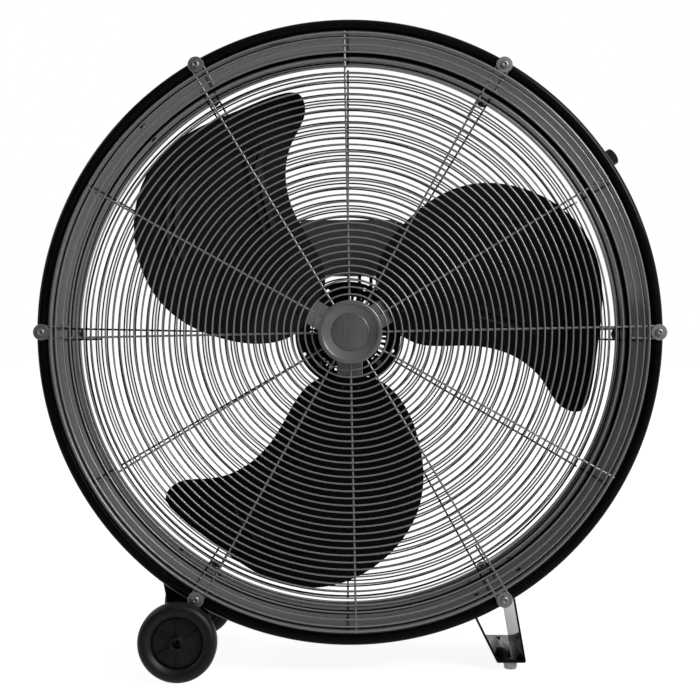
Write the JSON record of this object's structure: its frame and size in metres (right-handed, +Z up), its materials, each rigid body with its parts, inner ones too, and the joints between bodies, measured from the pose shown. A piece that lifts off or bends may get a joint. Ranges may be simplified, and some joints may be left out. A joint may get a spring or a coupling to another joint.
{
  "type": "industrial drum floor fan",
  "caption": "Industrial floor fan: black steel drum with wire grilles, pitched sheet blades on a direct-drive motor, carrying handle, speed knob, wheels on an axle and a folded leg.",
  "frame": {"origin": "on the floor, under the drum's axis, half-way through the drum's depth", "axes": "+X to the right seen from the front, +Y from the front grille to the back, +Z up; the fan's axis runs along Y at 0.484 m above the floor"},
  "size_m": [0.884, 0.295, 0.9235],
  "materials": {
    "drum_paint": "gloss black stoved paint on sheet steel",
    "blade_paint": "satin black paint on pressed sheet",
    "front_wire": "satin grey powder coat on drawn wire",
    "rear_wire": "satin black powder coat on drawn wire",
    "cap_paint": "satin grey paint on a pressed cap",
    "badge_metal": "straight-brushed disc, left bare",
    "hub_paint": "satin grey paint on pressed steel",
    "motor_paint": "satin black paint on the motor and its mount",
    "box_paint": "satin grey paint on a folded box",
    "black_steel": "blackened steel, satin",
    "lamination_steel": "stacked sheet laminations, dull",
    "winding_copper": "varnished copper wire",
    "bare_steel": "turned steel, bare",
    "plated_steel": "zinc-plated fasteners, satin",
    "wheel_plastic": "moulded dark grey plastic, matt",
    "tyre_rubber": "moulded solid tyre, matt",
    "foot_rubber": "grey moulded rubber",
    "black_plastic": "moulded black plastic",
    "pale_plastic": "pale plastic capacitor case",
    "spindle_brass": "turned brass",
    "lead_sheath": "black insulating sleeve"
  },
  "bodies": {
    "frame": {"axle": "black_steel", "axle_clips": "black_steel", "axle_spacers": "black_steel", "badge_cap": "cap_paint", "badge_plate": "badge_metal", "bracket_rivets": "drum_paint", "cable_gland": "black_plastic", "cap_clamp": "plated_steel", "cap_screw": "plated_steel", "carry_handle": "drum_paint", "drum_shell": "drum_paint", "feet": "foot_rubber", "foot_screws": "black_steel", "front_bearing": "bare_steel", "front_grille_rings": "front_wire", "front_grille_spokes": "front_wire", "grille_screws": "plated_steel", "grille_washers": "plated_steel", "handle_nuts": "black_steel", "handle_screws": "black_steel", "hex_nuts": "plated_steel", "leg": "drum_paint", "leg_rivets": "drum_paint", "motor_front_shield": "motor_paint", "motor_leads": "lead_sheath", "motor_mount_plate": "motor_paint", "motor_rear_shield": "motor_paint", "mount_bolts": "plated_steel", "mount_clamp_strips": "motor_paint", "rear_bearing": "bare_steel", "rear_grille_rings": "rear_wire", "rear_grille_spokes": "rear_wire", "rotary_switch": "black_plastic", "run_capacitor": "pale_plastic", "stator_stack": "lamination_steel", "stator_windings": "winding_copper", "switch_box": "drum_paint", "switch_cover": "drum_paint", "switch_cover_screws": "plated_steel", "terminal_box": "box_paint", "terminal_box_back": "box_paint", "terminal_box_screws": "plated_steel", "tie_bolt_nuts": "plated_steel", "tie_bolts": "plated_steel", "wheel_bracket_front": "drum_paint", "wheel_bracket_rear": "drum_paint"},
    "fan": {"fan_hub": "hub_paint", "hub_set_screw": "plated_steel", "blade_1": "blade_paint", "blade_2": "blade_paint", "blade_3": "blade_paint", "blade_rivets": "blade_paint", "motor_shaft": "bare_steel", "rotor": "lamination_steel"},
    "front_wheel": {"front_wheel_disc": "wheel_plastic", "front_wheel_tyre": "tyre_rubber"},
    "rear_wheel": {"rear_wheel_disc": "wheel_plastic", "rear_wheel_tyre": "tyre_rubber"},
    "knob": {"speed_knob": "black_plastic", "switch_spindle": "spindle_brass"}
  },
  "joints": [
    {"name": "fan_spin", "type": "hinge", "parent": "frame", "child": "fan", "pos_m": [0, 0, 0.484], "axis": [0, 1, 0], "continuous": true},
    {"name": "front_wheel_spin", "type": "hinge", "parent": "frame", "child": "front_wheel", "pos_m": [-0.239, -0.1335, 0.055], "axis": [0, 1, 0], "continuous": true},
    {"name": "rear_wheel_spin", "type": "hinge", "parent": "frame", "child": "rear_wheel", "pos_m": [-0.239, 0.1335, 0.055], "axis": [0, 1, 0], "continuous": true},
    {"name": "knob_turn", "type": "hinge", "parent": "frame", "child": "knob", "pos_m": [0.38261, -0.02, 0.74062], "axis": [0.8305, 0, 0.557], "range_deg": [0, 135]}
  ]
}
